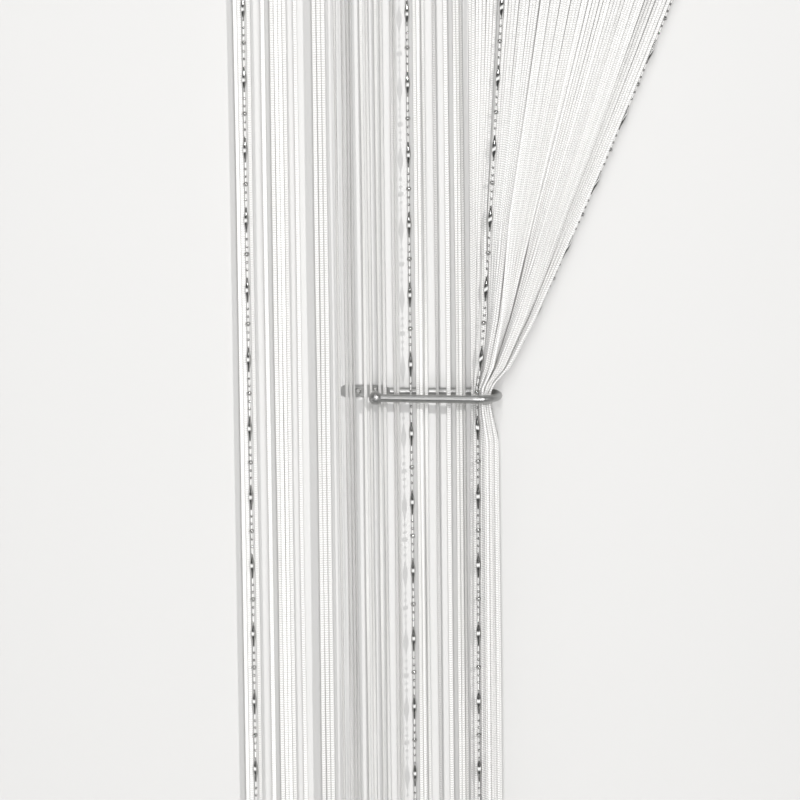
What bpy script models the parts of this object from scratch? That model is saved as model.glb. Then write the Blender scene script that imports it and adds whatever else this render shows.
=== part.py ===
"""A string curtain with bead cords, drawn sideways into a wall holdback.

Metres, +Z up, +X along the heading, +Y towards the wall. The origin is the middle of the
heading's top edge. A drop is a distance below that edge.
"""

import math

import bmesh
import bpy
import numpy as np
from mathutils import Vector

# The heading: a woven band folded over into a rod pocket, and gathered
HUNG_WIDTH = 0.660
WAVES = 15
WAVE_LENGTH = HUNG_WIDTH / WAVES
WAVE_DEPTH = 0.0093
WAVE_CREST_X = -0.1925
WAVE_DEPTH_CHANGE = 0.10
WAVE_DEPTH_PERIOD = 0.19
WAVE_DRIFT = 0.25
WAVE_DRIFT_PERIOD = 0.31
CLOTH = 0.0015
POCKET_DROP = 0.060
POCKET_CENTRE_DROP = 0.026
POCKET_HALF_HEIGHT = 0.02525
POCKET_HALF_DEPTH = 0.0215
POCKET_ANGLES = (-45, 0, 45)
SEAM_HALF_GAP = 0.0017
SEAM_HEIGHT = 0.008
COLUMNS_PER_WAVE = 8

# The strings: flat tapes that hang from a narrow strip under the heading
CURTAIN_LENGTH = 2.000
STRINGS = 90
BEAD_CORDS = (2, 23, 40, 89)
PIECE_GAP = 0.0003
STRIP_HEIGHT = 0.005
STRIP_THICKNESS = 0.0016
TAPE_WIDTH = 0.0045
TAPE_THICKNESS = 0.0010
CORD_WIDTH = 0.0012
STRIP_TOP = POCKET_DROP + PIECE_GAP
STRIP_BOTTOM = STRIP_TOP + STRIP_HEIGHT
STRING_LENGTH = CURTAIN_LENGTH - STRIP_BOTTOM

# The holdback: a bent tube with one end flattened against the wall
TUBE_RADIUS = 0.004
LEG_SPACING = 0.046
WALL_Y = 0.026
BACK_LEG_Y = WALL_Y - TUBE_RADIUS - 0.0005
BEND_RADIUS = LEG_SPACING / 2
BEND_X = -0.0920
BEND_Y = BACK_LEG_Y - BEND_RADIUS
BAR_DROP = 1.000
FRONT_LEG_TURN = math.radians(5.2)
HOLDBACK_TILT = math.radians(0.6)
FRONT_LEG_END = 0.0985
FLATTENING_START = 0.0855
FLATTENING_END = 0.0935
TAB_END = 0.1355
TAB_HALF_HEIGHT = 0.0063
TAB_THICKNESS = 0.0020
# Sections of the tab's rounded end, as angles round it in degrees
TAB_END_ANGLES = (0, 30, 55, 75)
TUBE_SIDES = 16
BEND_STEPS = 16
FLATTENING_STEPS = 4
EDGE_ANGLE = math.radians(40)
BALL_RADIUS = 0.00675
BALL_DEPTH_IN = 0.0042
BALL_SEGMENTS = 24
BALL_RINGS = 14
SCREW_POSITIONS = (0.1005, 0.1175)
SCREW_HEAD_RADIUS = 0.0033
SCREW_HEAD_HEIGHT = 0.0020
SCREW_SHANK_RADIUS = 0.0016
SCREW_SIDES = 12
# The screw head's dome, as (share of the radius, share of the height)
SCREW_DOME = ((0.0, 1.0), (0.55, 0.92), (0.88, 0.62), (1.0, 0.2))
SLOT_LENGTH = 0.0036
SLOT_WIDTH = 0.0008
SLOT_DEPTH = 0.0008
SLOT_TURN = math.radians(20)

# The straight strings' bunches at the bar's height, as (strings, X of the first, step in X,
# turn about the string's length in degrees)
BUNCHES = (
    (2, -0.3262, 0.0039, 20),
    (1, -0.3183, 0.0, 0),
    (1, -0.3132, 0.0, 32),
    (1, -0.2990, 0.0, -10),
    (4, -0.2905, 0.0041, 25),
    (1, -0.2673, 0.0, -20),
    (3, -0.2486, 0.0045, 25),
    (1, -0.2281, 0.0, 65),
    (2, -0.2205, 0.0040, -65),
    (1, -0.2132, 0.0, -70),
    (1, -0.2020, 0.0, 48),
    (1, -0.1965, 0.0, 58),
    (2, -0.1879, 0.0054, 55),
    (2, -0.1725, 0.0031, -62),
    (1, -0.1565, 0.0, 0),
    (2, -0.1495, 0.0038, 30),
    (1, -0.1411, 0.0, 53),
    (1, -0.1302, 0.0, -57),
    (1, -0.1189, 0.0, 5),
    (2, -0.1100, 0.0034, 45),
    (1, -0.1031, 0.0, 65),
)
STRAIGHT_STRINGS = sum(row[0] for row in BUNCHES)
# How much of the gathers' depth the straight strings keep
BUNCH_DEPTH = 0.8
# Stations down a straight string, as (drop, share of the way from the gathers to the bunch)
STRAIGHT_STATIONS = (
    (0.10, 0.05),
    (0.20, 0.30),
    (0.35, 0.70),
    (0.45, 0.95),
    (0.55, 1.0),
    (1.10, 1.0),
    (CURTAIN_LENGTH, 1.0),
)

# The drawn strings' tight packing between the legs, as (X from the bend's centre, strings,
# depth of the first row from the bend's centre, 1 where the rows run towards the wall)
BUNDLE_COLUMNS = (
    (-0.0031, 2, 0.0090, 1),
    (-0.0007, 3, 0.0130, -1),
    (0.0017, 3, 0.0150, -1),
    (0.0041, 11, 0.0150, -1),
    (0.0066, 14, -0.0130, 1),
    (0.0090, 9, 0.0070, -1),
    (0.01145, 8, -0.0070, 1),
    (0.0139, 6, 0.0030, -1),
)
ROW_PITCH = 0.0020
# How far every other row steps aside, where it does
STAGGER = 0.0012
BUNDLE_THICKNESS = 0.00085
# The two bead cords of the drawn strings, as their place in the packing
CORD_PLACES = {40: (0.0012, -0.0090), 89: (0.0147, 0.0060)}
# Stations down a drawn string, as (drop, width, how far the packing has spread in X, how much of
# its depth it keeps, how evenly the strings are spaced, how far every other row has stepped aside,
# share of the way from the gathers to the rows, shift of the hanging ends)
DRAWN_STATIONS = (
    (0.090, 0.0045, 1.75, 0.6, 1, 0, 0.0, 0.0),
    (0.180, 0.0042, 1.75, 0.6, 1, 0, 0.5, 0.0),
    (0.300, 0.0040, 1.75, 0.6, 1, 0, 1.0, 0.0),
    (0.500, 0.0038, 1.75, 0.6, 1, 0, 1.0, 0.0),
    (0.680, 0.0036, 1.75, 0.6, 1, 0, 1.0, 0.0),
    (0.820, 0.0032, 1.75, 0.65, 1, 0, 1.0, 0.0),
    (0.920, 0.0030, 1.70, 0.8, 0, 1, 1.0, 0.0),
    (0.972, 0.0027, 1.50, 0.95, 0, 1, 1.0, 0.0),
    (0.991, 0.0021, 1.00, 1.0, 0, 0, 1.0, 0.0),
    (1.010, 0.0021, 1.00, 1.0, 0, 0, 1.0, 0.0),
    (1.045, 0.0028, 1.40, 0.9, 0, 1, 1.0, -0.0010),
    (1.280, 0.0033, 1.55, 0.75, 0, 1, 1.0, -0.0030),
    (CURTAIN_LENGTH, 0.0034, 1.60, 0.7, 0, 1, 1.0, -0.0040),
)
# How fast a drawn string leans over near the bar, per metre of height, and where that begins
SAG = 0.484
GRIP_HEIGHT = 0.008


def clear_scene():
    for old in list(bpy.data.objects):
        bpy.data.objects.remove(old)


def finish(name, colour, roughness, metallic=0.0):
    material = bpy.data.materials.new(name)
    material.use_nodes = True
    shader = material.node_tree.nodes["Principled BSDF"]
    shader.inputs["Base Color"].default_value = (*colour, 1.0)
    shader.inputs["Roughness"].default_value = roughness
    shader.inputs["Metallic"].default_value = metallic
    return material


def collection(name):
    made = bpy.data.collections.new(name)
    bpy.context.scene.collection.children.link(made)
    return made


def place(obj, group, material=None):
    group.objects.link(obj)
    if material:
        obj.data.materials.append(material)
    return obj


def object_from(bm, name, group, material=None):
    bmesh.ops.recalc_face_normals(bm, faces=bm.faces[:])
    mesh = bpy.data.meshes.new(name)
    bm.to_mesh(mesh)
    bm.free()
    return place(bpy.data.objects.new(name, mesh), group, material)


def gather(x):
    """How far the gathered cloth stands towards the wall at x."""
    depth = WAVE_DEPTH * (1 + WAVE_DEPTH_CHANGE * np.sin(2 * np.pi * x / WAVE_DEPTH_PERIOD))
    drift = WAVE_DRIFT * np.sin(2 * np.pi * (x - WAVE_CREST_X) / WAVE_DRIFT_PERIOD)
    return depth * np.cos(2 * np.pi * (x - WAVE_CREST_X) / WAVE_LENGTH + drift)


GATHER_SAMPLE = 0.0002
GATHER_SAMPLES = round(HUNG_WIDTH / GATHER_SAMPLE) + 1
GATHER_X = np.linspace(-HUNG_WIDTH / 2, HUNG_WIDTH / 2, GATHER_SAMPLES)
GATHER_STEPS = np.hypot(np.diff(GATHER_X), np.diff(gather(GATHER_X)))
CLOTH_LENGTH = np.concatenate(([0.0], np.cumsum(GATHER_STEPS)))
FLAT_WIDTH = float(CLOTH_LENGTH[-1])
STRING_PITCH = FLAT_WIDTH / STRINGS


def on_gathers(length):
    """The place and the turn of the gathered cloth at a length along it."""
    x = float(np.interp(length, CLOTH_LENGTH, GATHER_X))
    rise = float(gather(x + GATHER_SAMPLE) - gather(x - GATHER_SAMPLE))
    turn = math.atan2(rise, 2 * GATHER_SAMPLE)
    return x, float(gather(x)), turn


def string_width(string):
    return CORD_WIDTH if string in BEAD_CORDS else TAPE_WIDTH


def section(x, y, drop, turn, width, thickness):
    """The four corners' frame of a string at one height."""
    across = Vector((math.cos(turn), math.sin(turn), 0)) * width / 2
    through = Vector((-math.sin(turn), math.cos(turn), 0)) * thickness / 2
    return Vector((x, y, -drop)), across, through


def bunched():
    """Where each straight string hangs at the bar's height: X, Y and turn."""
    places = []
    for count, first, step, turn in BUNCHES:
        y = BUNCH_DEPTH * float(gather(first + step * (count - 1) / 2))
        places += [(first + step * row, y, math.radians(turn)) for row in range(count)]
    return places


HANGING = bunched()


def straight_path(string):
    """A string that hangs plumb once it has left the gathers for its bunch."""
    width = string_width(string)
    thickness = min(width, TAPE_THICKNESS)
    root = on_gathers((string + 0.5) * STRING_PITCH)
    path = []
    for drop, share in STRAIGHT_STATIONS:
        x, y, turn = (a + (b - a) * share for a, b in zip(root, HANGING[string]))
        path.append(section(x, y, drop, turn, width, thickness))
    return path


def packing():
    """Where each drawn string passes between the holdback's legs."""
    places = dict(CORD_PLACES)
    tapes = [s for s in range(STRAIGHT_STRINGS, STRINGS) if s not in BEAD_CORDS]
    for x, count, first, way in BUNDLE_COLUMNS:
        for row in range(count):
            places[tapes.pop(0)] = (x, first + way * row * ROW_PITCH)
    return places


PACKING = packing()
BUNDLE_LEFT = BUNDLE_COLUMNS[0][0]
BUNDLE_RIGHT = BUNDLE_COLUMNS[-1][0]


def packed_across(string, even, stagger):
    """A drawn string's X in the packing, once it is spaced evenly or its row steps aside."""
    x, y = PACKING[string]
    if string in BEAD_CORDS:
        return x
    rank = (string - STRAIGHT_STRINGS) / (STRINGS - STRAIGHT_STRINGS - 1)
    even_x = BUNDLE_LEFT + (BUNDLE_RIGHT - BUNDLE_LEFT) * rank
    row = round((y - BUNDLE_COLUMNS[0][2]) / ROW_PITCH)
    return x + (even_x - x) * even + STAGGER * stagger * (row % 2)


def lean(height):
    """The share of its sideways reach that a drawn string has at a height over the bar."""
    free = max(height - GRIP_HEIGHT, 0)
    return math.log(1 + SAG * free) / math.log(1 + SAG * BAR_DROP)


def drawn_path(string):
    """A string that leans from the heading into the holdback and hangs from there."""
    root_x, root_y, root_turn = on_gathers((string + 0.5) * STRING_PITCH)
    packed_y = PACKING[string][1]
    thin = string in BEAD_CORDS
    path = []
    used = 0.0
    last = Vector((root_x, root_y, -STRIP_BOTTOM))
    for drop, width, spread, depth, even, stagger, share, shift in DRAWN_STATIONS:
        if thin:
            depth = 1.0
        packed_x = packed_across(string, even, stagger)
        bundle_x = BEND_X + BUNDLE_LEFT + (packed_x - BUNDLE_LEFT) * spread + shift
        x = bundle_x + (root_x - bundle_x) * lean(BAR_DROP - drop)
        y = root_y + (BEND_Y + packed_y * depth - root_y) * share
        if drop == CURTAIN_LENGTH:
            drop = -last.z + STRING_LENGTH - used
        here = Vector((x, y, -drop))
        used += (here - last).length
        last = here
        width = CORD_WIDTH if thin else width
        path.append(section(x, y, drop, root_turn * (1 - share), width, BUNDLE_THICKNESS))
    return path


def string_edges(string):
    """Where a string's two edges lie along the gathered cloth."""
    middle = (string + 0.5) * STRING_PITCH
    half = string_width(string) / 2
    return middle - half, middle + half


def corner(frame, side, face):
    centre, across, through = frame
    return centre + across * side + through * face


def strings_on_strip(name, strings, path, group, material):
    """A strip of cells along the gathers, with every other cell drawn down into a string."""
    bm = bmesh.new()
    edges = [edge for string in strings for edge in string_edges(string)]
    cells = len(edges) - 1
    bmesh.ops.create_grid(bm, x_segments=cells, y_segments=1, size=1.0)
    side = bm.verts.layers.int.new("side")
    face = bm.verts.layers.int.new("face")
    owner = bm.faces.layers.int.new("string")
    columns = {}
    for vert in bm.verts:
        column = round((vert.co.x + 1) / 2 * cells)
        columns[vert] = column
        vert[side] = -1 if column % 2 == 0 else 1
        vert[face] = -1 if vert.co.y < 0 else 1
        x, y, turn = on_gathers(edges[column])
        through = Vector((-math.sin(turn), math.cos(turn), 0)) * STRIP_THICKNESS / 2
        vert.co = Vector((x, y, -STRIP_BOTTOM)) + through * vert[face]
    roots = []
    for cell in bm.faces:
        column = min(columns[vert] for vert in cell.verts)
        cell[owner] = strings[column // 2]
        if column % 2 == 0:
            roots.append(cell)
    under = bm.faces[:]
    raised = bmesh.ops.extrude_face_region(bm, geom=under, use_keep_orig=True)["geom"]
    for vert in raised:
        if isinstance(vert, bmesh.types.BMVert):
            vert.co.z += STRIP_HEIGHT
    paths = {string: path(string) for string in strings}
    for station in range(len(paths[strings[0]])):
        roots = bmesh.ops.extrude_discrete_faces(bm, faces=roots)["faces"]
        for root in roots:
            frame = paths[root[owner]][station]
            for vert in root.verts:
                vert.co = corner(frame, vert[side], vert[face])
    return object_from(bm, name, group, material)


def pocket_section():
    """The folded band from its front edge over the top to its back edge, as (Y, Z)."""
    front = [(SEAM_HALF_GAP, -POCKET_DROP), (SEAM_HALF_GAP, -POCKET_DROP + SEAM_HEIGHT)]
    for angle in POCKET_ANGLES:
        turn = math.radians(angle)
        height = -POCKET_CENTRE_DROP + POCKET_HALF_HEIGHT * math.sin(turn)
        front.append((POCKET_HALF_DEPTH * math.cos(turn), height))
    top = [(0.0, -POCKET_CENTRE_DROP + POCKET_HALF_HEIGHT)]
    return [(-y, z) for y, z in front] + top + front[::-1]


def heading(group, material):
    """The band as one sheet, folded into the pocket and thickened on both sides."""
    outline = pocket_section()
    columns = WAVES * COLUMNS_PER_WAVE
    rows = len(outline) - 1
    bm = bmesh.new()
    bmesh.ops.create_grid(bm, x_segments=columns, y_segments=rows, size=1.0)
    for vert in bm.verts:
        x = vert.co.x * HUNG_WIDTH / 2
        y, z = outline[round((vert.co.y + 1) / 2 * rows)]
        vert.co = (x, y + float(gather(x)), z)
    made = object_from(bm, "heading", group, material)
    shell = made.modifiers.new("cloth", "SOLIDIFY")
    shell.thickness = CLOTH
    shell.offset = 0.0
    return made


def tube_ring(x, y, along, half_height, half_depth):
    """One section of the tube: an ellipse whose front and back are pressed flat."""
    sideways = Vector((-along[1], along[0], 0))
    ring = []
    for step in range(TUBE_SIDES):
        turn = 2 * math.pi * step / TUBE_SIDES
        depth = max(-half_depth, min(half_depth, TUBE_RADIUS * math.cos(turn)))
        ring.append(Vector((x, y, half_height * math.sin(turn))) + sideways * depth)
    return ring


def tube_rings():
    """The tube's sections from the ball round the bend to the flattened end, about the bend."""
    turn = FRONT_LEG_TURN
    leftward = (-math.cos(turn), math.sin(turn))
    arc_start = -math.pi / 2 - turn
    tangent = (BEND_RADIUS * math.cos(arc_start), BEND_RADIUS * math.sin(arc_start))
    leg = (FRONT_LEG_END + tangent[0]) / math.cos(turn)
    end = (tangent[0] + leftward[0] * leg, tangent[1] + leftward[1] * leg)
    forward = (-leftward[0], -leftward[1])
    rings = [tube_ring(*end, forward, TUBE_RADIUS, TUBE_RADIUS)]
    for step in range(BEND_STEPS + 1):
        angle = arc_start + (math.pi + turn) * step / BEND_STEPS
        place_x = BEND_RADIUS * math.cos(angle)
        place_y = BEND_RADIUS * math.sin(angle)
        along = (-math.sin(angle), math.cos(angle))
        rings.append(tube_ring(place_x, place_y, along, TUBE_RADIUS, TUBE_RADIUS))
    leg_y = BEND_RADIUS
    tab_y = WALL_Y - TAB_THICKNESS / 2 - BEND_Y
    back = (-1.0, 0.0)
    for step in range(FLATTENING_STEPS + 1):
        share = step / FLATTENING_STEPS
        eased = share * share * (3 - 2 * share)
        x = -(FLATTENING_START + (FLATTENING_END - FLATTENING_START) * share)
        y = leg_y + (tab_y - leg_y) * eased
        height = TUBE_RADIUS + (TAB_HALF_HEIGHT - TUBE_RADIUS) * eased
        depth = TUBE_RADIUS + (TAB_THICKNESS / 2 - TUBE_RADIUS) * eased
        rings.append(tube_ring(x, y, back, height, depth))
    for angle in TAB_END_ANGLES:
        turn = math.radians(angle)
        x = -(TAB_END - TAB_HALF_HEIGHT) - TAB_HALF_HEIGHT * math.sin(turn)
        height = TAB_HALF_HEIGHT * math.cos(turn)
        rings.append(tube_ring(x, tab_y, back, height, TAB_THICKNESS / 2))
    return rings, end, leftward


def skin(rings):
    """A closed body over a row of sections that have as many points each."""
    bm = bmesh.new()
    loops = [[bm.verts.new(point) for point in ring] for ring in rings]
    for near, far in zip(loops, loops[1:]):
        for step in range(len(near)):
            after = (step + 1) % len(near)
            bm.faces.new((near[step], near[after], far[after], far[step]))
    bm.faces.new(loops[0])
    bm.faces.new(loops[-1])
    return bm


def guide(obj):
    obj.hide_render = True
    obj.display_type = "WIRE"
    return obj


def cut(obj, cutter):
    modifier = obj.modifiers.new("cut", "BOOLEAN")
    modifier.operation = "DIFFERENCE"
    modifier.object = cutter


def rod(name, radius, length, group):
    """A plain round cutter along its own Z."""
    bm = bmesh.new()
    bmesh.ops.create_cone(
        bm, cap_ends=True, segments=TUBE_SIDES, radius1=radius, radius2=radius, depth=length
    )
    return guide(object_from(bm, name, group))


def tube(group, cutters, hub, material):
    rings, end, leftward = tube_rings()
    made = object_from(skin(rings), "holdback_tube", group, material)
    made.parent = hub
    for number, x in enumerate(SCREW_POSITIONS, 1):
        hole = rod(f"screw_hole_{number}", SCREW_SHANK_RADIUS + PIECE_GAP, TUBE_RADIUS, cutters)
        hole.parent = hub
        hole.location = (-x, WALL_Y - TAB_THICKNESS / 2 - BEND_Y, 0)
        hole.rotation_euler = (math.pi / 2, 0, 0)
        cut(made, hole)
    made.data.shade_smooth()
    made.data.set_sharp_from_angle(angle=EDGE_ANGLE)
    return end, leftward


def ball(group, cutters, hub, end, leftward, material):
    """The ball on the open end, bored for the tube."""
    bm = bmesh.new()
    bmesh.ops.create_uvsphere(
        bm, u_segments=BALL_SEGMENTS, v_segments=BALL_RINGS, radius=BALL_RADIUS
    )
    made = object_from(bm, "holdback_ball", group, material)
    made.parent = hub
    reach = math.sqrt(BALL_RADIUS**2 - TUBE_RADIUS**2) - BALL_DEPTH_IN
    made.location = (end[0] + leftward[0] * reach, end[1] + leftward[1] * reach, 0)
    bore = rod("ball_bore", TUBE_RADIUS + PIECE_GAP, 2 * BALL_RADIUS, cutters)
    bore.parent = hub
    outward = BALL_RADIUS - PIECE_GAP
    bore.location = (end[0] - leftward[0] * outward, end[1] - leftward[1] * outward, 0)
    bore.rotation_euler = (0, math.pi / 2, -FRONT_LEG_TURN)
    cut(made, bore)
    made.data.shade_smooth()
    made.data.set_sharp_from_angle(angle=EDGE_ANGLE)


def screw(number, x, group, cutters, hub, material):
    """A round-headed screw with a cross slot, seated on the flattened end."""
    dome = [(SCREW_HEAD_RADIUS * out, SCREW_HEAD_HEIGHT * up) for out, up in SCREW_DOME]
    shank = [
        (SCREW_HEAD_RADIUS, 0.0),
        (SCREW_SHANK_RADIUS, 0.0),
        (SCREW_SHANK_RADIUS, -TAB_THICKNESS),
        (0.0, -TAB_THICKNESS),
    ]
    mesh = bpy.data.meshes.new(f"screw_{number}")
    points = [(radius, 0.0, height) for radius, height in dome + shank]
    mesh.from_pydata(points, [(n, n + 1) for n in range(len(points) - 1)], [])
    made = place(bpy.data.objects.new(f"screw_{number}", mesh), group, material)
    turned = made.modifiers.new("turned", "SCREW")
    turned.steps = SCREW_SIDES
    turned.render_steps = SCREW_SIDES
    turned.use_merge_vertices = True
    turned.merge_threshold = 0.0001
    front = WALL_Y - TAB_THICKNESS - PIECE_GAP - BEND_Y
    made.parent = hub
    made.location = (-x, front, 0)
    made.rotation_euler = (math.pi / 2, 0, 0)
    arms = ((SLOT_LENGTH, SLOT_WIDTH), (SLOT_WIDTH, SLOT_LENGTH))
    for arm, (long_way, short_way) in enumerate(arms, 1):
        bm = bmesh.new()
        bmesh.ops.create_cube(bm, size=1.0)
        bmesh.ops.scale(bm, vec=(long_way, short_way, 2 * SLOT_DEPTH), verts=bm.verts[:])
        slot = guide(object_from(bm, f"screw_slot_{number}_{arm}", cutters))
        slot.parent = hub
        slot.location = (-x, front - SCREW_HEAD_HEIGHT, 0)
        slot.rotation_euler = (math.pi / 2, SLOT_TURN * number, 0)
        cut(made, slot)


def holdback(group, cutters):
    metal = finish("satin metal", (0.42, 0.42, 0.41), 0.32, 1.0)
    steel = finish("screw steel", (0.60, 0.60, 0.59), 0.28, 1.0)
    hub = bpy.data.objects.new("holdback", None)
    hub.location = (BEND_X, BEND_Y, -BAR_DROP)
    hub.rotation_euler = (0, HOLDBACK_TILT, 0)
    group.objects.link(hub)
    end, leftward = tube(group, cutters, hub, metal)
    ball(group, cutters, hub, end, leftward, metal)
    for number, x in enumerate(SCREW_POSITIONS, 1):
        screw(number, x, group, cutters, hub, steel)


def main():
    clear_scene()
    parts = collection("string curtain and holdback")
    cutters = collection("cutters")
    band = finish("woven white band", (0.88, 0.87, 0.85), 0.85)
    yarn = finish("white knitted tape", (0.90, 0.89, 0.87), 0.75)
    heading(parts, band)
    straight = range(STRAIGHT_STRINGS)
    drawn = range(STRAIGHT_STRINGS, STRINGS)
    strings_on_strip("strings_straight", straight, straight_path, parts, yarn)
    strings_on_strip("strings_drawn", drawn, drawn_path, parts, yarn)
    holdback(parts, cutters)


main()
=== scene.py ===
"""The looks of a string curtain with bead cords, drawn sideways into a wall holdback.

Metres, +Z up, +X along the heading, +Y towards the wall. The origin is the middle of the
heading's top edge. A drop is a distance below that edge.
"""

import math

import bpy
import numpy as np
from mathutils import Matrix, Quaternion, Vector


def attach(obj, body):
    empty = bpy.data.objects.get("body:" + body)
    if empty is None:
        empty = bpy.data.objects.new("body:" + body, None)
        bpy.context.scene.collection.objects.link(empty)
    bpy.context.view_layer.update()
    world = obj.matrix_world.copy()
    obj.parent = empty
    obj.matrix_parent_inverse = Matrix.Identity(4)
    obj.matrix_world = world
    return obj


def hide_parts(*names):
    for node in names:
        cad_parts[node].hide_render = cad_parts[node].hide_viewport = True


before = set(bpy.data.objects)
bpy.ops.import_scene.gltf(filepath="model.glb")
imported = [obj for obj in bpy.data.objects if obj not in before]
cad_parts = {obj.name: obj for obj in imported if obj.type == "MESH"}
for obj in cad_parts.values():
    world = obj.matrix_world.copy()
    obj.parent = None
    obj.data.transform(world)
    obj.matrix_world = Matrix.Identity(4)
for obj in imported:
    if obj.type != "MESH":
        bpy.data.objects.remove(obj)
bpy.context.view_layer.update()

# The heading: a woven band folded over into a rod pocket, and gathered
HUNG_WIDTH = 0.660
# The gathers: even waves whose depth and place change slowly along the heading
WAVES = 15
WAVE_LENGTH = HUNG_WIDTH / WAVES
WAVE_DEPTH = 0.0093
WAVE_CREST_X = -0.1925
WAVE_DEPTH_CHANGE = 0.10
WAVE_DEPTH_PERIOD = 0.19
WAVE_DRIFT = 0.25
WAVE_DRIFT_PERIOD = 0.31
CLOTH_THICKNESS = 0.0013
# The pocket: where the seam lies, and the round space for the rod above it
POCKET_DROP = 0.060
POCKET_CENTRE_DROP = 0.026
POCKET_HALF_HEIGHT = 0.02525
POCKET_HALF_DEPTH = 0.0215
SEAM_HALF_GAP = 0.0017
SEAM_HEIGHT = 0.008
HEADING_COLUMNS = 480
POCKET_STEPS = 16
# The arc of a pocket's half section, in degrees: where it starts and how far it turns
POCKET_ARC_START = -50
POCKET_ARC = 140
# Puckers along the seam: their height, how far from the seam they fade, and two waves along the
# cloth as (share, wavelength, phase)
PUCKER = 0.0007
PUCKER_FADE = 0.016
PUCKER_WAVES = ((1.0, 0.0117, 0.0), (0.6, 0.0181, 1.3))

# The strings: flat knitted tapes that hang from a narrow strip under the heading
CURTAIN_LENGTH = 2.000
STRINGS = 90
BEAD_CORDS = (2, 23, 40, 89)
PIECE_GAP = 0.0003
STRIP_HEIGHT = 0.005
STRIP_THICKNESS = 0.0016
STRIP_STEPS_PER_STRING = 8
TAPE_WIDTH = 0.0045
TAPE_THICKNESS = 0.0010
STRIP_TOP = POCKET_DROP + PIECE_GAP
STRIP_BOTTOM = STRIP_TOP + STRIP_HEIGHT
STRING_LENGTH = CURTAIN_LENGTH - STRIP_BOTTOM
# The straight strings' bunches at the bar's height, as (strings, X of the first, step in X,
# turn about the string's length in degrees)
BUNCHES = (
    (2, -0.3262, 0.0039, 20),
    (1, -0.3183, 0.0, 0),
    (1, -0.3132, 0.0, 32),
    (1, -0.2990, 0.0, -10),
    (4, -0.2905, 0.0041, 25),
    (1, -0.2673, 0.0, -20),
    (3, -0.2486, 0.0045, 25),
    (1, -0.2281, 0.0, 65),
    (2, -0.2205, 0.0040, -65),
    (1, -0.2132, 0.0, -70),
    (1, -0.2020, 0.0, 48),
    (1, -0.1965, 0.0, 58),
    (2, -0.1879, 0.0054, 55),
    (2, -0.1725, 0.0031, -62),
    (1, -0.1565, 0.0, 0),
    (2, -0.1495, 0.0038, 30),
    (1, -0.1411, 0.0, 53),
    (1, -0.1302, 0.0, -57),
    (1, -0.1189, 0.0, 5),
    (2, -0.1100, 0.0034, 45),
    (1, -0.1031, 0.0, 65),
)
STRAIGHT_STRINGS = sum(row[0] for row in BUNCHES)
# How much of the gathers' depth the bunches keep
BUNCH_DEPTH = 0.8
# Stations down a straight string, as (drop, share of the way from the gathers to the bunch)
STRAIGHT_STATIONS = (
    (STRIP_BOTTOM, 0.0),
    (0.10, 0.05),
    (0.20, 0.30),
    (0.35, 0.70),
    (0.45, 0.95),
    (0.55, 1.0),
    (1.10, 1.0),
    (CURTAIN_LENGTH, 1.0),
)

# The drawn strings' packing between the holdback's legs, as (X from the bend's centre, strings,
# depth of the first row from the bend's centre, 1 where the rows run towards the wall)
BUNDLE_COLUMNS = (
    (-0.0031, 2, 0.0090, 1),
    (-0.0007, 3, 0.0130, -1),
    (0.0017, 3, 0.0150, -1),
    (0.0041, 11, 0.0150, -1),
    (0.0066, 14, -0.0130, 1),
    (0.0090, 9, 0.0070, -1),
    (0.01145, 8, -0.0070, 1),
    (0.0139, 6, 0.0030, -1),
)
ROW_PITCH = 0.0020
# How far every other row steps aside, where it does
STAGGER = 0.0012
BUNDLE_THICKNESS = 0.00085
# Where the two drawn cords pass, as (X, depth) from the bend's centre
CORD_PLACES = {40: (0.0012, -0.0090), 89: (0.0147, 0.0060)}
# The centre of the holdback's bend, and the bar's drop
BEND_X = -0.0920
BEND_Y = -0.0015
BAR_DROP = 1.000
# Stations down a drawn string, as (drop, width, how far the packing has spread in X, how much of
# its depth it keeps, how evenly the strings are spaced, how far every other row has stepped aside,
# share of the way from the gathers to the rows, shift of the hanging ends)
DRAWN_STATIONS = (
    (STRIP_BOTTOM, 0.0045, 1.75, 0.6, 1, 0, 0.0, 0.0),
    (0.090, 0.0045, 1.75, 0.6, 1, 0, 0.0, 0.0),
    (0.180, 0.0042, 1.75, 0.6, 1, 0, 0.5, 0.0),
    (0.300, 0.0040, 1.75, 0.6, 1, 0, 1.0, 0.0),
    (0.500, 0.0038, 1.75, 0.6, 1, 0, 1.0, 0.0),
    (0.680, 0.0036, 1.75, 0.6, 1, 0, 1.0, 0.0),
    (0.820, 0.0032, 1.75, 0.65, 1, 0, 1.0, 0.0),
    (0.920, 0.0030, 1.70, 0.8, 0, 1, 1.0, 0.0),
    (0.972, 0.0027, 1.50, 0.95, 0, 1, 1.0, 0.0),
    (0.991, 0.0021, 1.00, 1.0, 0, 0, 1.0, 0.0),
    (1.010, 0.0021, 1.00, 1.0, 0, 0, 1.0, 0.0),
    (1.045, 0.0028, 1.40, 0.9, 0, 1, 1.0, -0.0010),
    (1.280, 0.0033, 1.55, 0.75, 0, 1, 1.0, -0.0030),
    (CURTAIN_LENGTH, 0.0034, 1.60, 0.7, 0, 1, 1.0, -0.0040),
)
# The columns of that table
DROP, WIDTH, SPREAD, DEPTH, EVEN, ASIDE, SHARE, SHIFT = range(8)
# The share's column in the straight strings' table
STRAIGHT_SHARE = 1
# The fan's curve: how fast it straightens upwards, and how far above the bar it starts
SAG = 0.484
GRIP_HEIGHT = 0.008

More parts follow.
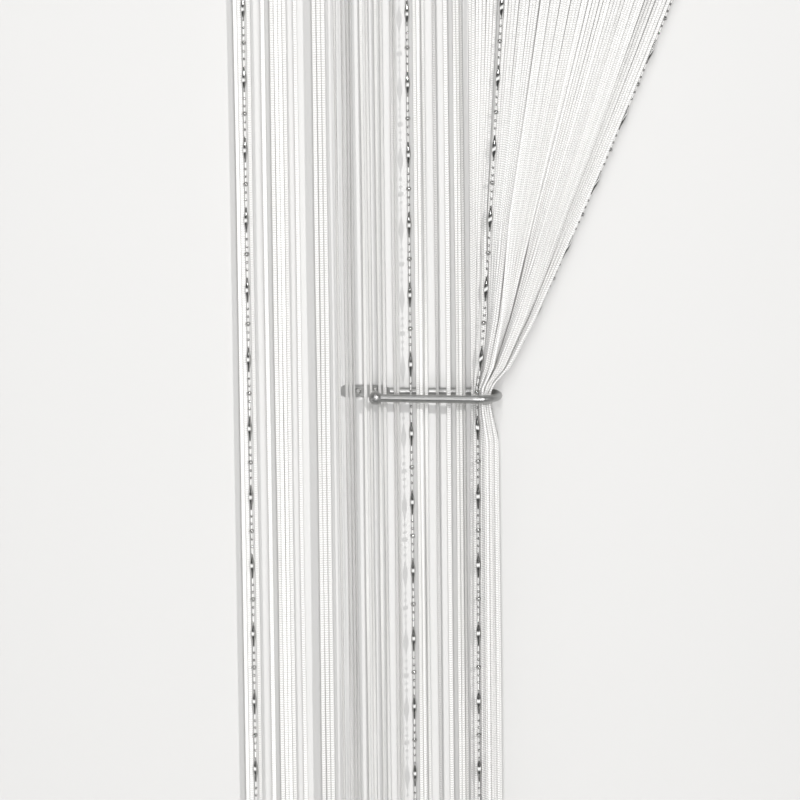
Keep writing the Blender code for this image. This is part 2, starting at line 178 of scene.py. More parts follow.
# The tapes' finer form: steps down a tape and finer ones that measure it, how its stations are
# smoothed, and how far it twists, turns, sways and changes its width
STRAIGHT_STEPS = 220
DRAWN_STEPS = 160
FINE_STEPS = 4
SMOOTHING = 0.030
SMOOTHING_SAMPLES = 9
SMOOTHING_REACH = 1.25
TWIST = math.radians(12)
DRAWN_TURN = math.radians(24)
SWAY = 0.0003
WIDTH_CHANGE = 0.02
# How far below the strip a string hangs free, and how far from the bar it does again
FREE_LENGTH = 0.2
GRIP_REACH = 0.15
# The slow waves down a string, as (a number that tells them apart, waves to the metre)
SWAY_WAVE = (1, 1.1)
TWIST_WAVE = (2, 1.7)
WIDTH_WAVE = (3, 7)
# Steady numbers that set one string's waves apart from the next one's
STRING_SEED = 12.9898
SALT_SEED = 78.233
WANDER_SEED = 3.17
TURN_SEED = 4.1
PHASE_SPREAD = 43.7585
# Each of them sums a few waves, ever closer and lower, and is divided by their highest sum
WANDER_COUNT = 3
WANDER_FIRST = 0.6
WANDER_STEP = 0.5
WANDER_PEAK = 1.84
# Half of a tape's section, from its left edge over the front, as (share of the half width,
# share of the half thickness): the selvedges stand a little over the middle
TAPE_SECTION = ((-1.0, 0.0), (-0.88, -1.0), (-0.45, -0.62), (0.45, -0.62), (0.88, -1.0))

# Beads: one repeat of a cord, as (distance from the long bead's middle, kind)
BEAD_REPEAT = 0.0704
BEAD_PATTERN = (
    (0.0, "long"),
    (0.0195, "small"),
    (0.0270, "small"),
    (0.0346, "round"),
    (0.0430, "small"),
    (0.0505, "small"),
)
# Half profiles of the beads, as (height, radius)
BEAD_PROFILES = {
    "long": (
        (0.0130, 0.00055),
        (0.0128, 0.00085),
        (0.0118, 0.00100),
        (0.0095, 0.00110),
        (0.0072, 0.00145),
        (0.0052, 0.00195),
        (0.0034, 0.00230),
        (0.0016, 0.00244),
        (0.0, 0.00248),
    ),
    "round": (
        (0.00235, 0.00060),
        (0.00232, 0.00095),
        (0.00200, 0.00160),
        (0.00140, 0.00218),
        (0.00070, 0.00252),
        (0.0, 0.00265),
    ),
    "small": (
        (0.00135, 0.00050),
        (0.00130, 0.00085),
        (0.00095, 0.00122),
        (0.00050, 0.00144),
        (0.0, 0.00152),
    ),
}
BEAD_SIDES = 20
# The bare thread left at either end of a cord
BARE_END = 0.004
# How far along each cord one of its long beads hangs
LONG_BEAD_AT = {2: 0.8968, 23: 0.9031, 40: 0.8272, 89: 0.7939}
THREAD_RADIUS = 0.00040
THREAD_SIDES = 6
THREAD_STEPS = 150

# UV values along the cloth are in centimetres
CENTIMETRES = 100
# Metals, as (dark colour, light colour, roughness, lines of grain to the metre along X, Y and Z)
SATIN = ((0.37, 0.37, 0.365), (0.47, 0.47, 0.465), 0.34, (60, 900, 900))
STEEL = ((0.52, 0.52, 0.51), (0.66, 0.66, 0.65), 0.22, (700, 700, 700))

# Camera: a long lens, square to the wall and a little above
VIEW_CENTRE = Vector((-0.1675, 0.0, -1.004))
VIEW_WIDTH = 0.800
VIEW_DISTANCE = 5.0
VIEW_ELEVATION = math.radians(10.3)
VIEW_ROLL = -0.011
SENSOR = 36.0

# Stage: the wall's face lies just behind the holdback's, and above a drop it steps back to clear
# the deep heading
WALL_Y = 0.026
WALL_CLEARANCE = 0.0004
STEP_DROP = 0.085
STEP_DEPTH = 0.020
WALL_TOP = 1.2
STAGE_HALF_WIDTH = 3.0
FLOOR_HALF_DEPTH = 0.7
FLOOR_CLEARANCE = 0.012

# Lights: a small key, and two narrow lamps in line with the camera, as (name, power, place, width
# and height, whether metal mirrors it)
KEY_STRENGTH = 1.60
KEY_COLOUR = (1.0, 0.995, 0.985)
KEY_DIRECTION = Vector((0.354, -1.0, 0.39))
KEY_DISTANCE = 4
KEY_SIZE = math.radians(1.2)
FRONT_LAMPS = (
    ("softbox", 33.0, (-0.17, -2.5, 0.6), (0.35, 1.6), True),
    ("fill", 29.0, (-0.17, -2.2, -0.9), (0.25, 1.8), False),
)
# The room's brightness by elevation in degrees: dim but for a bright band below eye level
ROOM = (
    (-90, 0.05),
    (-19, 0.05),
    (-14, 1.00),
    (-7, 1.00),
    (-1, 0.05),
    (50, 0.08),
    (65, 0.15),
    (90, 0.15),
)
ROOM_STRENGTH = 1.7


def gather(x):
    """How far the gathered cloth stands towards the wall at x."""
    depth = WAVE_DEPTH * (1 + WAVE_DEPTH_CHANGE * np.sin(2 * np.pi * x / WAVE_DEPTH_PERIOD))
    drift = WAVE_DRIFT * np.sin(2 * np.pi * (x - WAVE_CREST_X) / WAVE_DRIFT_PERIOD)
    return depth * np.cos(2 * np.pi * (x - WAVE_CREST_X) / WAVE_LENGTH + drift)


GATHER_SAMPLE = 0.0002
GATHER_SAMPLES = round(HUNG_WIDTH / GATHER_SAMPLE) + 1
GATHER_X = np.linspace(-HUNG_WIDTH / 2, HUNG_WIDTH / 2, GATHER_SAMPLES)
GATHER_STEPS = np.hypot(np.diff(GATHER_X), np.diff(gather(GATHER_X)))
CLOTH_LENGTH = np.concatenate(([0.0], np.cumsum(GATHER_STEPS)))
FLAT_WIDTH = float(CLOTH_LENGTH[-1])
STRING_PITCH = FLAT_WIDTH / STRINGS


def on_gathers(length):
    """The place and the turn of the gathered cloth at a length along it."""
    x = float(np.interp(length, CLOTH_LENGTH, GATHER_X))
    rise = float(gather(x + GATHER_SAMPLE) - gather(x - GATHER_SAMPLE))
    return x, float(gather(x)), math.atan2(rise, 2 * GATHER_SAMPLE)


def bunched():
    """Where each straight string hangs at the bar's height: X, Y and turn."""
    places = []
    for count, first, step, turn in BUNCHES:
        y = BUNCH_DEPTH * float(gather(first + step * (count - 1) / 2))
        places += [(first + step * row, y, math.radians(turn)) for row in range(count)]
    return places


HANGING = bunched()


def packing():
    """Where each drawn string passes between the holdback's legs."""
    places = dict(CORD_PLACES)
    tapes = [s for s in range(STRAIGHT_STRINGS, STRINGS) if s not in BEAD_CORDS]
    for x, count, first, way in BUNDLE_COLUMNS:
        for row in range(count):
            places[tapes.pop(0)] = (x, first + way * row * ROW_PITCH)
    return places


PACKING = packing()
BUNDLE_LEFT = BUNDLE_COLUMNS[0][0]
BUNDLE_RIGHT = BUNDLE_COLUMNS[-1][0]


def packed_across(string, even, aside):
    """A drawn string's X in the packing, once it is spaced evenly or its row steps aside."""
    x, y = PACKING[string]
    if string in BEAD_CORDS:
        return x
    rank = (string - STRAIGHT_STRINGS) / (STRINGS - STRAIGHT_STRINGS - 1)
    even_x = BUNDLE_LEFT + (BUNDLE_RIGHT - BUNDLE_LEFT) * rank
    row = round((y - BUNDLE_COLUMNS[0][2]) / ROW_PITCH)
    return x + (even_x - x) * even + STAGGER * aside * (row % 2)


def between(drops, table, column):
    """A column of a station table at each drop."""
    return np.interp(drops, [row[DROP] for row in table], [row[column] for row in table])


def eased(drops, table, column):
    """A column of a station table at each drop, with its corners rounded off."""
    offsets = np.linspace(-SMOOTHING, SMOOTHING, SMOOTHING_SAMPLES)
    weights = 1 - np.abs(offsets) / (SMOOTHING * SMOOTHING_REACH)
    parts = [between(drops + offset, table, column) * w for offset, w in zip(offsets, weights)]
    return np.sum(parts, axis=0) / weights.sum()


def lengths_along(path):
    """The distance from a path's start to each of its points."""
    steps = np.linalg.norm(np.diff(path, axis=0), axis=1)
    return np.concatenate(([0.0], np.cumsum(steps)))


def places_along(marks, used, path):
    """The places on a path at one or more distances from its start."""
    return np.stack([np.interp(marks, used, path[:, axis]) for axis in range(3)], axis=-1)


def circle(radius, sides, height):
    """The points of a level circle round the Z axis."""
    angles = [2 * math.pi * side / sides for side in range(sides)]
    return [(radius * math.cos(angle), radius * math.sin(angle), height) for angle in angles]


def wander(string, drops, salt, waves):
    """A slow wave down a string, between -1 and 1, and its own for each string."""
    seed = string * STRING_SEED + salt * SALT_SEED
    total = np.zeros_like(drops)
    for number in range(1, WANDER_COUNT + 1):
        phase = PHASE_SPREAD * math.sin(seed + number * WANDER_SEED)
        pace = waves * (WANDER_FIRST + WANDER_STEP * number)
        total += np.sin(2 * np.pi * pace * drops + phase) / number
    return total / WANDER_PEAK


def own_turn(string):
    """A steady number between -1 and 1 that differs from one string to the next."""
    return math.sin(string * STRING_SEED + TURN_SEED)


def straight_line(string, steps):
    """Centre, turn and width down a straight string."""
    drops = np.linspace(STRIP_BOTTOM, CURTAIN_LENGTH, steps + 1)
    share = eased(drops, STRAIGHT_STATIONS, STRAIGHT_SHARE)
    share[0] = 0.0
    root = on_gathers((string + 0.5) * STRING_PITCH)
    x, y, turn = (a + (b - a) * share for a, b in zip(root, HANGING[string]))
    free = np.clip((drops - STRIP_BOTTOM) / FREE_LENGTH, 0, 1)
    x = x + SWAY * free * wander(string, drops, *SWAY_WAVE)
    turn = turn + TWIST * free * wander(string, drops, *TWIST_WAVE)
    width = TAPE_WIDTH * (1 + WIDTH_CHANGE * wander(string, drops, *WIDTH_WAVE))
    return np.stack((x, y, -drops), axis=1), turn, width


def drawn_line(string, steps):
    """Centre, turn and width down a string that passes through the holdback."""
    root_x, root_y, root_turn = on_gathers((string + 0.5) * STRING_PITCH)
    packed_y = PACKING[string][1]
    drops = np.linspace(STRIP_BOTTOM, CURTAIN_LENGTH, FINE_STEPS * steps + 1)
    height = np.maximum(BAR_DROP - drops - GRIP_HEIGHT, 0)
    lean = np.log(1 + SAG * height) / math.log(1 + SAG * BAR_DROP)
    spread = between(drops, DRAWN_STATIONS, SPREAD)
    share = eased(drops, DRAWN_STATIONS, SHARE)
    share[0] = 0.0
    depth = 1.0 if string in CORD_PLACES else eased(drops, DRAWN_STATIONS, DEPTH)
    shift = eased(drops, DRAWN_STATIONS, SHIFT)
    even = between(drops, DRAWN_STATIONS, EVEN)
    aside = between(drops, DRAWN_STATIONS, ASIDE)
    packed_x = packed_across(string, even, aside)
    bundle_x = BEND_X + BUNDLE_LEFT + (packed_x - BUNDLE_LEFT) * spread + shift
    x = bundle_x + (root_x - bundle_x) * lean
    y = root_y + (BEND_Y + packed_y * depth - root_y) * share
    path = np.stack((x, y, -drops), axis=1)
    path[0] = (root_x, root_y, -STRIP_BOTTOM)
    marks = np.linspace(0, STRING_LENGTH, steps + 1)
    path = places_along(marks, lengths_along(path), path)
    level = -path[:, 2]
    free = np.clip((level - STRIP_BOTTOM) / FREE_LENGTH, 0, 1)
    grip = np.clip(np.abs(level - BAR_DROP) / GRIP_REACH, 0, 1)
    twist = DRAWN_TURN * own_turn(string) + TWIST * wander(string, level, *TWIST_WAVE)
    turn = root_turn * (1 - np.interp(level, drops, share)) + free * grip * twist
    change = 1 + WIDTH_CHANGE * wander(string, level, *WIDTH_WAVE)
    return path, turn, eased(level, DRAWN_STATIONS, WIDTH) * change


def line_of(string, steps):
    """Centre, turn and width down any string."""
    maker = straight_line if string < STRAIGHT_STRINGS else drawn_line
    return maker(string, steps)


def mesh_piece(name, points, faces, material, smooth=True):
    """A mesh object from arrays of points and faces."""
    mesh = bpy.data.meshes.new(name)
    mesh.from_pydata(points.tolist(), [], faces)
    mesh.update()
    mesh.polygons.foreach_set("use_smooth", [smooth] * len(mesh.polygons))
    mesh.materials.append(material)
    piece = bpy.data.objects.new(name, mesh)
    bpy.context.scene.collection.objects.link(piece)
    return piece


def ring_faces(rings, sides, start=0):
    """The faces between rings that follow each other, and the two ends."""
    faces = []
    for ring in range(rings - 1):
        a = start + ring * sides
        b = a + sides
        for side in range(sides):
            after = (side + 1) % sides
            faces.append((a + side, b + side, b + after, a + after))
    faces.append(tuple(start + side for side in range(sides)))
    faces.append(tuple(start + (rings - 1) * sides + side for side in reversed(range(sides))))
    return faces


def set_uv(piece, name, per_point):
    """A UV map that holds two values of each point."""
    layer = piece.data.uv_layers.new(name=name)
    corners = np.empty(len(piece.data.loops), dtype=np.int32)
    piece.data.loops.foreach_get("vertex_index", corners)
    layer.data.foreach_set("uv", per_point[corners].astype(np.float32).ravel())


def tapes(name, strings, steps, material):
    """The knitted tapes of one node, joined into one mesh with the strip they hang from."""
    front = list(TAPE_SECTION)
    outline = np.array(front + [(-across, -through) for across, through in front])
    sides = len(outline)
    points = []
    faces = []
    across_uv = []
    string_uv = []
    total = 0
    for string in strings:
        if string in BEAD_CORDS:
            continue
        path, turn, width = line_of(string, steps)
        drawn = string >= STRAIGHT_STRINGS
        thickness = BUNDLE_THICKNESS if drawn else TAPE_THICKNESS
        across = np.stack((np.cos(turn), np.sin(turn), np.zeros_like(turn)), axis=1)
        through = np.stack((-np.sin(turn), np.cos(turn), np.zeros_like(turn)), axis=1)
        rings = (
            path[:, None, :]
            + across[:, None, :] * (outline[None, :, 0:1] * width[:, None, None] / 2)
            + through[:, None, :] * (outline[None, :, 1:2] * thickness / 2)
        )
        points.append(rings.reshape(-1, 3))
        faces += ring_faces(len(path), sides, total)
        length = lengths_along(path)
        u = np.tile((outline[:, 0] + 1) / 2, len(path))
        v = np.repeat(length * CENTIMETRES, sides)
        across_uv.append(np.stack((u, v), axis=1))
        own = np.full(len(u), (string + 0.5) / STRINGS)
        string_uv.append(np.stack((own, np.repeat(length / STRING_LENGTH, sides)), axis=1))
        total += sides * len(path)
    strip_points, strip_faces = strip(strings, total)
    points.append(strip_points)
    faces += strip_faces
    flat = np.zeros((len(strip_points), 2))
    across_uv.append(flat + (0.5, 0.0))
    string_uv.append(flat + (0.5, 0.0))
    piece = mesh_piece(name, np.concatenate(points), faces, material)
    set_uv(piece, "tape", np.concatenate(across_uv))
    set_uv(piece, "string", np.concatenate(string_uv))
    return piece


def strip(strings, start):
    """The narrow strip along the gathers that a node's strings hang from."""
    first = strings[0] * STRING_PITCH + STRING_PITCH / 2 - TAPE_WIDTH / 2
    last = strings[-1] * STRING_PITCH + STRING_PITCH / 2 + TAPE_WIDTH / 2
    rings = []
    corners = ((-1, STRIP_TOP), (1, STRIP_TOP), (1, STRIP_BOTTOM), (-1, STRIP_BOTTOM))
    for length in np.linspace(first, last, STRIP_STEPS_PER_STRING * len(strings)):
        x, y, turn = on_gathers(length)
        for face, drop in corners:
            out = face * STRIP_THICKNESS / 2
            rings.append((x - math.sin(turn) * out, y + math.cos(turn) * out, -drop))
    sides = len(corners)
    return np.array(rings), ring_faces(len(rings) // sides, sides, start)


def beads(string, material):
    """The beads of one cord, from its top to its lower end."""
    path = line_of(string, THREAD_STEPS)[0]
    used = lengths_along(path)
    points = []
    faces = []
    total = 0
    count = int(STRING_LENGTH / BEAD_REPEAT) + 2
    phase = LONG_BEAD_AT[string] % BEAD_REPEAT - BEAD_REPEAT
    for repeat in range(count):
        for offset, kind in BEAD_PATTERN:
            half = BEAD_PROFILES[kind][0][0]
            at = phase + repeat * BEAD_REPEAT + offset
            if at - half < BARE_END or at + half > STRING_LENGTH - BARE_END:
                continue
            before, centre, after = places_along((at - half, at, at + half), used, path)
            along = Vector(before - after).normalized()
            turn_to = Vector((0, 0, 1)).rotation_difference(along).to_matrix()
            upper = list(BEAD_PROFILES[kind])
            profile = upper + [(-height, radius) for height, radius in reversed(upper[:-1])]
            rings = []
            for height, radius in profile:
                ring = circle(radius, BEAD_SIDES, height)
                rings += [centre + np.array(turn_to @ Vector(local)) for local in ring]
            points.append(np.array(rings))
            faces += ring_faces(len(profile), BEAD_SIDES, total)
            total += len(rings)
    name = f"beads_{BEAD_CORDS.index(string) + 1}"
    return mesh_piece(name, np.concatenate(points), faces, material)


def thread(string, material):
    """The round thread that a cord's beads are strung on, drawn thin at its lower end."""
    path = line_of(string, THREAD_STEPS)[0]
    points = []
    for number, centre in enumerate(path):
        last = number == len(path) - 1
        radius = THREAD_RADIUS / 2 if last else THREAD_RADIUS
        points.append(centre + np.array(circle(radius, THREAD_SIDES, 0)))
    name = f"thread_{BEAD_CORDS.index(string) + 1}"
    faces = ring_faces(len(path), THREAD_SIDES)
    return mesh_piece(name, np.concatenate(points), faces, material)


def pocket_outline():
    """The folded band from its front edge over the top to its back edge, as (Y, Z)."""
    front = [(SEAM_HALF_GAP, -POCKET_DROP), (SEAM_HALF_GAP, -POCKET_DROP + SEAM_HEIGHT)]
    for step in range(POCKET_STEPS):
        turn = math.radians(POCKET_ARC_START + POCKET_ARC * step / POCKET_STEPS)
        height = -POCKET_CENTRE_DROP + POCKET_HALF_HEIGHT * math.sin(turn)
        front.append((POCKET_HALF_DEPTH * math.cos(turn), height))
    top = [(0.0, -POCKET_CENTRE_DROP + POCKET_HALF_HEIGHT)]
    return np.array([(-y, z) for y, z in front] + top + front[::-1])


def heading(material):
    """The gathered rod pocket as one thin sheet."""
    outline = pocket_outline()
    lengths = lengths_along(outline)
    x = np.linspace(-HUNG_WIDTH / 2, HUNG_WIDTH / 2, HEADING_COLUMNS + 1)
    cloth = np.interp(x, GATHER_X, CLOTH_LENGTH)
    pucker = sum(
        share * np.sin(2 * np.pi * cloth / wavelength + phase)
        for share, wavelength, phase in PUCKER_WAVES
    )
    points = []
    uv = []
    for (y, z), length in zip(outline, lengths):
        tight = math.exp(-(((z + POCKET_DROP - SEAM_HEIGHT) / PUCKER_FADE) ** 2))
        out = np.sign(y) * PUCKER * tight * pucker
        points.append(np.stack((x, y + gather(x) + out, np.full_like(x, z)), axis=1))
        down = np.full_like(x, length * CENTIMETRES)
        uv.append(np.stack((cloth * CENTIMETRES, down), axis=1))
    columns = len(x)
    faces = []
    for row in range(len(outline) - 1):
        a = row * columns
        b = a + columns
        faces += [(a + n, b + n, b + n + 1, a + n + 1) for n in range(columns - 1)]
    piece = mesh_piece("heading_band", np.concatenate(points), faces, material)
    set_uv(piece, "cloth", np.concatenate(uv))
    shell = piece.modifiers.new("cloth", "SOLIDIFY")
    shell.thickness = CLOTH_THICKNESS
    shell.offset = 0.0
    return piece, float(lengths[-1])


def new_material(name):
    """A material with its nodes, its links and its shader."""
    material = bpy.data.materials.new(name)
    material.use_nodes = True
    nodes = material.node_tree.nodes
    return material, nodes, material.node_tree.links, nodes["Principled BSDF"]


def set_inputs(node, values):
    """Sets a node's inputs by their names."""
    for name, value in values.items():
        node.inputs[name].default_value = value


def uv_map(nodes, links, name):
    """A UV map, and its two values apart."""
    place = nodes.new("ShaderNodeUVMap")
    place.uv_map = name
    split = nodes.new("ShaderNodeSeparateXYZ")
    links.new(place.outputs["UV"], split.inputs[0])
    return place.outputs["UV"], split.outputs["X"], split.outputs["Y"]


def noise(nodes, links, place, scale, detail, dimensions="3D"):
    """Soft noise at a place."""
    node = nodes.new("ShaderNodeTexNoise")
    node.noise_dimensions = dimensions
    set_inputs(node, {"Scale": scale, "Detail": detail})
    links.new(place, node.inputs["Vector"])
    return node.outputs["Fac"]


def add_bump(nodes, links, shader, height, strength, distance):
    """Fine relief on a shader."""
    bump = nodes.new("ShaderNodeBump")
    set_inputs(bump, {"Strength": strength, "Distance": distance})
    links.new(height, bump.inputs["Height"])
    links.new(bump.outputs["Normal"], shader.inputs["Normal"])


def let_light_through(nodes, links, shader, share, colour):
    """Mixes a share of light that passes through the cloth into its surface."""
    through = nodes.new("ShaderNodeBsdfTranslucent")
    through.inputs["Color"].default_value = (*colour, 1)
    mix = nodes.new("ShaderNodeMixShader")
    mix.inputs["Fac"].default_value = share
    links.new(shader.outputs[0], mix.inputs[1])
    links.new(through.outputs[0], mix.inputs[2])
    links.new(mix.outputs[0], nodes["Material Output"].inputs["Surface"])


def open_up(nodes, links, opening):
    """Leaves the cloth open where the opening share says so, as between the stitches of a net."""
    surface = nodes["Material Output"].inputs["Surface"]
    cloth = surface.links[0].from_socket
    clear = nodes.new("ShaderNodeBsdfTransparent")
    mix = nodes.new("ShaderNodeMixShader")
    links.new(opening, mix.inputs["Fac"])
    links.new(cloth, mix.inputs[1])
    links.new(clear.outputs[0], mix.inputs[2])
    links.new(mix.outputs[0], surface)


def math_node(nodes, links, operation, first, second=None, third=None):
    """One step of arithmetic on numbers or on other nodes' outputs."""
    node = nodes.new("ShaderNodeMath")
    node.operation = operation
    for socket, value in zip(node.inputs, (first, second, third)):
        if value is None:
            continue
        if isinstance(value, (int, float)):
            socket.default_value = value
        else:
            links.new(value, socket)
    return node.outputs[0]


def colour_mix(nodes, links, share, dark, light):
    """A colour between two others."""
    node = nodes.new("ShaderNodeMix")
    node.data_type = "RGBA"
    node.inputs["A"].default_value = (*dark, 1)
    node.inputs["B"].default_value = (*light, 1)
    links.new(share, node.inputs["Factor"])
    return node.outputs["Result"]


def tape_material():
    """White knitted tape: chevron stitches every 2.4 mm, ribs and openings between two selvedges, and
    both edges darkened as painted shade of the gaps between neighbouring tapes.
    """
    # Along the tape in centimetres, across it in shares of its width, and waves in radians
    stitch_length = 0.24
    chevron_slope = 5.5
    rib_slope = 22.0
    rib_height = 0.4
    patch_height = 1.2
    stitch_contrast, base_tone = 0.12, 0.43
    string_contrast = 0.42
    # Painted shade: how far off the middle the edges are darkened, and by how much, for the shadow in
    # the gaps between tapes
    painted_gap_shade_from, painted_gap_shade = 0.41, -0.9
    full_turn = 6.28
    open_within, open_contrast, open_share = 0.38, -0.30, 0.10
    material, nodes, links, shader = new_material("white_knitted_tape")
    place, across, along = uv_map(nodes, links, "tape")
    tone = nodes.new("ShaderNodeTexWhiteNoise")
    tone.noise_dimensions = "1D"
    links.new(uv_map(nodes, links, "string")[1], tone.inputs["W"])
    own_tone = tone.outputs["Value"]
    off_centre = math_node(nodes, links, "ABSOLUTE", math_node(nodes, links, "SUBTRACT", across, 0.5))
    start = math_node(nodes, links, "MULTIPLY", own_tone, full_turn)
    chevron = math_node(nodes, links, "MULTIPLY_ADD", off_centre, chevron_slope, start)
    stitch = math_node(nodes, links, "MULTIPLY_ADD", along, 2 * math.pi / stitch_length, chevron)
    rungs = math_node(nodes, links, "SINE", stitch)
    rib_angle = math_node(nodes, links, "MULTIPLY", off_centre, rib_slope)
    ribs = math_node(nodes, links, "COSINE", rib_angle)
    relief = math_node(nodes, links, "MULTIPLY_ADD", ribs, rib_height, rungs)
    patches = noise(nodes, links, place, 0.9, 3.0, "2D")
    height = math_node(nodes, links, "MULTIPLY_ADD", patches, patch_height, relief)
    shade = math_node(nodes, links, "MULTIPLY_ADD", height, stitch_contrast, base_tone)
    varied = math_node(nodes, links, "MULTIPLY_ADD", own_tone, string_contrast, shade)
    # The edges' darkening is painted shade, standing in for the shadow in the gaps between
    # neighbouring tapes
    edge = math_node(nodes, links, "GREATER_THAN", off_centre, painted_gap_shade_from)
    with_gap_shade = math_node(nodes, links, "MULTIPLY_ADD", edge, painted_gap_shade, varied)
    colour = colour_mix(nodes, links, with_gap_shade, (0.52, 0.515, 0.505), (0.99, 0.985, 0.975))
    links.new(colour, shader.inputs["Base Color"])
    set_inputs(shader, {"Roughness": 0.62, "Sheen Weight": 0.35, "Sheen Roughness": 0.4})
    add_bump(nodes, links, shader, height, 0.50, 0.0004)
    let_light_through(nodes, links, shader, 0.24, (0.995, 0.99, 0.98))
    inside = math_node(nodes, links, "LESS_THAN", off_centre, open_within)
    open_rung = math_node(nodes, links, "MULTIPLY_ADD", rungs, open_contrast, open_share)
    opening = math_node(nodes, links, "MULTIPLY", open_rung, inside)
    open_up(nodes, links, opening)
    return material


def band_material():
    """White woven band: a plain weave that repeats every 1 mm, with soft patches in it."""
    # Radians of the weave's waves to the centimetre
    weave_slope = 62.8
    patch_height = 1.5
    weave_contrast, base_tone = 0.25, 0.40
    material, nodes, links, shader = new_material("white_woven_band")
    place, across, down = uv_map(nodes, links, "cloth")
    waves = []
    for direction in (across, down):
        angle = math_node(nodes, links, "MULTIPLY", direction, weave_slope)
        waves.append(math_node(nodes, links, "SINE", angle))
    weave = math_node(nodes, links, "MULTIPLY", *waves)
    patches = noise(nodes, links, place, 0.7, 4.0)
    height = math_node(nodes, links, "MULTIPLY_ADD", patches, patch_height, weave)
    shade = math_node(nodes, links, "MULTIPLY_ADD", height, weave_contrast, base_tone)
    colour = colour_mix(nodes, links, shade, (0.80, 0.79, 0.775), (0.93, 0.925, 0.91))
    links.new(colour, shader.inputs["Base Color"])
    set_inputs(shader, {"Roughness": 0.85, "Sheen Weight": 0.2})
    add_bump(nodes, links, shader, height, 0.5, 0.0003)
    let_light_through(nodes, links, shader, 0.25, (0.94, 0.93, 0.91))
    return material


def thread_material():
    """A white twisted thread."""
    material, nodes, links, shader = new_material("white_thread")
    place = nodes.new("ShaderNodeTexCoord")
    twist = nodes.new("ShaderNodeTexWave")
    twist.bands_direction = "Z"
    set_inputs(twist, {"Scale": 330.0, "Distortion": 1.5})
    links.new(place.outputs["Object"], twist.inputs["Vector"])
    ply = twist.outputs["Fac"]
    colour = colour_mix(nodes, links, ply, (0.82, 0.815, 0.805), (0.93, 0.925, 0.915))
    links.new(colour, shader.inputs["Base Color"])
    set_inputs(shader, {"Roughness": 0.6})
    return material


def bead_material():
    """Bright silver plating with slight wear."""
    roughness, wear_roughness = 0.08, 0.08
    material, nodes, links, shader = new_material("silver_bead")
    place = nodes.new("ShaderNodeTexCoord")
    worn = noise(nodes, links, place.outputs["Object"], 260.0, 3.0)
    colour = colour_mix(nodes, links, worn, (0.56, 0.56, 0.55), (0.68, 0.68, 0.67))
    links.new(colour, shader.inputs["Base Color"])
    rough = math_node(nodes, links, "MULTIPLY_ADD", worn, wear_roughness, roughness)
    links.new(rough, shader.inputs["Roughness"])
    set_inputs(shader, {"Metallic": 1.0, "Specular Tint": (0.35, 0.35, 0.35, 1)})
    return material


def metal_material(name, dark, light, roughness, grain):
    """Satin metal with a fine grain in its polish."""
    grain_roughness = 0.12
    material, nodes, links, shader = new_material(name)
    place = nodes.new("ShaderNodeTexCoord")
    stretch = nodes.new("ShaderNodeMapping")
    set_inputs(stretch, {"Scale": grain})
    links.new(place.outputs["Object"], stretch.inputs["Vector"])
    lines = noise(nodes, links, stretch.outputs["Vector"], 1.0, 4.0)
    colour = colour_mix(nodes, links, lines, dark, light)
    links.new(colour, shader.inputs["Base Color"])
    rough = math_node(nodes, links, "MULTIPLY_ADD", lines, grain_roughness, roughness)
    links.new(rough, shader.inputs["Roughness"])
    set_inputs(shader, {"Metallic": 1.0})
    add_bump(nodes, links, shader, lines, 0.12, 0.0001)
    return material


def plain_stage(name, colour, see_through_back):
    """Matt paint, which can be clear from behind."""
    material, nodes, links, shader = new_material(name)
    set_inputs(shader, {"Base Color": (*colour, 1), "Roughness": 0.9, "Specular IOR Level": 0.1})
    if see_through_back:
        side = nodes.new("ShaderNodeNewGeometry")
        clear = nodes.new("ShaderNodeBsdfTransparent")
        mix = nodes.new("ShaderNodeMixShader")
        links.new(side.outputs["Backfacing"], mix.inputs["Fac"])
        links.new(shader.outputs[0], mix.inputs[1])
        links.new(clear.outputs[0], mix.inputs[2])
        links.new(mix.outputs[0], nodes["Material Output"].inputs["Surface"])
    return material


def stage():
    """A pale wall that steps back behind the deep heading, and a pale floor under the hem."""
    wall_white = plain_stage("wall_white", (0.545, 0.542, 0.537), True)
    floor_white = plain_stage("floor_white", (0.60, 0.60, 0.59), False)
    wall_y = WALL_Y + WALL_CLEARANCE
    back_y = wall_y + STEP_DEPTH
    floor_z = -CURTAIN_LENGTH - FLOOR_CLEARANCE
    outline = ((wall_y, floor_z), (wall_y, -STEP_DROP), (back_y, -STEP_DROP), (back_y, WALL_TOP))
    sides = (-STAGE_HALF_WIDTH, STAGE_HALF_WIDTH)
    points = np.array([(x, y, z) for y, z in outline for x in sides])
    faces = [(row, row + 1, row + 3, row + 2) for row in (0, 2, 4)]
    wall = mesh_piece("backdrop", points, faces, wall_white, smooth=False)
    front, back = -FLOOR_HALF_DEPTH, FLOOR_HALF_DEPTH
    corners = ((sides[0], front), (sides[1], front), (sides[1], back), (sides[0], back))
    points = np.array([(x, y, floor_z) for x, y in corners])
    floor = mesh_piece("floor", points, [(0, 1, 2, 3)], floor_white, smooth=False)


def camera():
    """The camera that frames the holdback and the strings round it."""
    data = bpy.data.cameras.new("camera")
    data.sensor_width = SENSOR
    data.lens = SENSOR * VIEW_DISTANCE / VIEW_WIDTH
    data.clip_end = 100.0
    made = bpy.data.objects.new("camera", data)
    bpy.context.scene.collection.objects.link(made)
    back = Vector((0, -math.cos(VIEW_ELEVATION), math.sin(VIEW_ELEVATION)))
    made.location = VIEW_CENTRE + back * VIEW_DISTANCE
    made.rotation_mode = "QUATERNION"
    facing = (-back).to_track_quat("-Z", "Y")
    made.rotation_quaternion = facing @ Quaternion((0, 0, 1), VIEW_ROLL)
    bpy.context.scene.camera = made


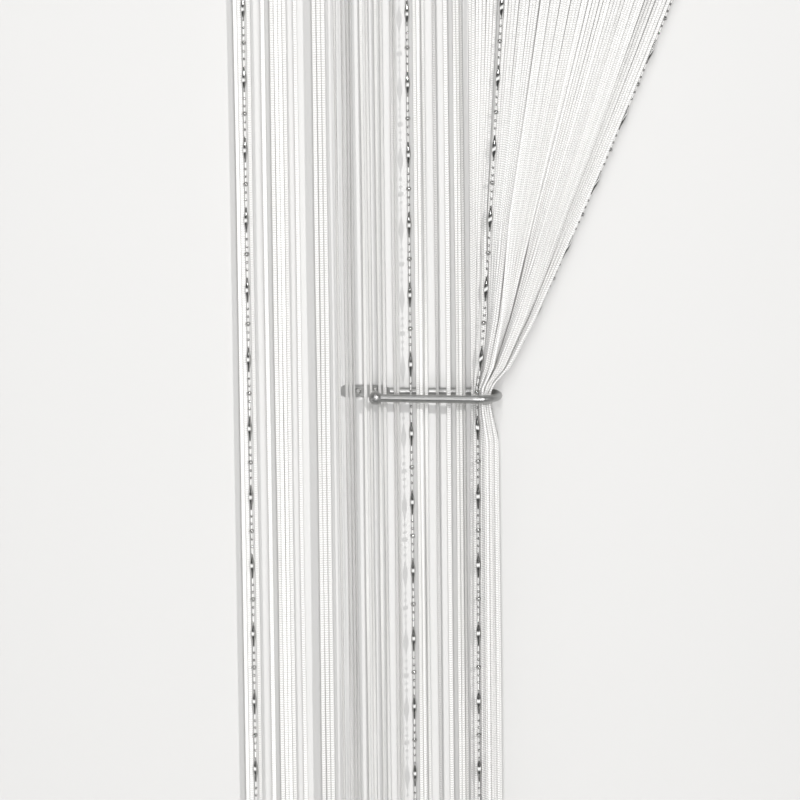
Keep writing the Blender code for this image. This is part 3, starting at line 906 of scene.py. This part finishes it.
def lamp(name, kind, energy, place, size, colour=(1, 1, 1)):
    """A lamp that shines on the view's centre."""
    data = bpy.data.lights.new(name, kind)
    data.energy = energy
    data.color = colour
    made = bpy.data.objects.new(name, data)
    bpy.context.scene.collection.objects.link(made)
    made.location = place
    made.rotation_euler = (VIEW_CENTRE - Vector(place)).to_track_quat("-Z", "Y").to_euler()
    made.visible_camera = False
    if kind == "AREA":
        data.shape = "RECTANGLE"
        data.size, data.size_y = size
    else:
        data.angle = size
    return made


def lights():
    """A small key from the upper right, two narrow front lights and a dim room."""
    key_from = VIEW_CENTRE + KEY_DIRECTION.normalized() * KEY_DISTANCE
    lamp("key", "SUN", KEY_STRENGTH, key_from, KEY_SIZE, KEY_COLOUR)
    for name, power, place, size, mirrored in FRONT_LAMPS:
        made = lamp(name, "AREA", power, place, size)
        made.visible_glossy = mirrored
    world = bpy.data.worlds.new("room")
    bpy.context.scene.world = world
    world.use_nodes = True
    nodes, links = world.node_tree.nodes, world.node_tree.links
    shade = nodes["Background"]
    place = nodes.new("ShaderNodeTexCoord")
    split = nodes.new("ShaderNodeSeparateXYZ")
    links.new(place.outputs["Generated"], split.inputs[0])
    ramp = nodes.new("ShaderNodeValToRGB")
    stops = ramp.color_ramp.elements
    stops[0].position = 0.0
    stops[0].color = (ROOM[0][1],) * 3 + (1,)
    stops[1].position = 1.0
    stops[1].color = (ROOM[-1][1],) * 3 + (1,)
    for elevation, shade_there in ROOM[1:-1]:
        stop = stops.new((1 + math.sin(math.radians(elevation))) / 2)
        stop.color = (shade_there,) * 3 + (1,)
    half = math_node(nodes, links, "MULTIPLY_ADD", split.outputs["Z"], 0.5, 0.5)
    links.new(half, ramp.inputs["Fac"])
    links.new(ramp.outputs["Color"], shade.inputs["Color"])
    shade.inputs["Strength"].default_value = ROOM_STRENGTH


def dress():
    """Every piece of the curtain, each on its body and with its finish."""
    tape = tape_material()
    band = band_material()
    yarn = thread_material()
    silver = bead_material()
    satin = metal_material("satin_metal", *SATIN)
    steel = metal_material("screw_steel", *STEEL)
    straight = range(STRAIGHT_STRINGS)
    drawn = range(STRAIGHT_STRINGS, STRINGS)
    for name, node, strings, steps in (
        ("tapes_straight", "strings_straight", straight, STRAIGHT_STEPS),
        ("tapes_drawn", "strings_drawn", drawn, DRAWN_STEPS),
    ):
        piece = tapes(name, strings, steps, tape)
        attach(piece, "root")
        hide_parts(node)
    for string in BEAD_CORDS:
        for piece, finish in ((beads(string, silver), "beads"), (thread(string, yarn), "tape")):
            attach(piece, "root")
    pocket, length = heading(band)
    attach(pocket, "root")
    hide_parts("heading")
    for node, material in (
        ("holdback_tube", satin),
        ("holdback_ball", satin),
        ("screw_1", steel),
        ("screw_2", steel),
    ):
        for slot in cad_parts[node].material_slots:
            slot.material = material


dress()
stage()
camera()
lights()
bpy.context.scene.view_settings.view_transform = "Standard"
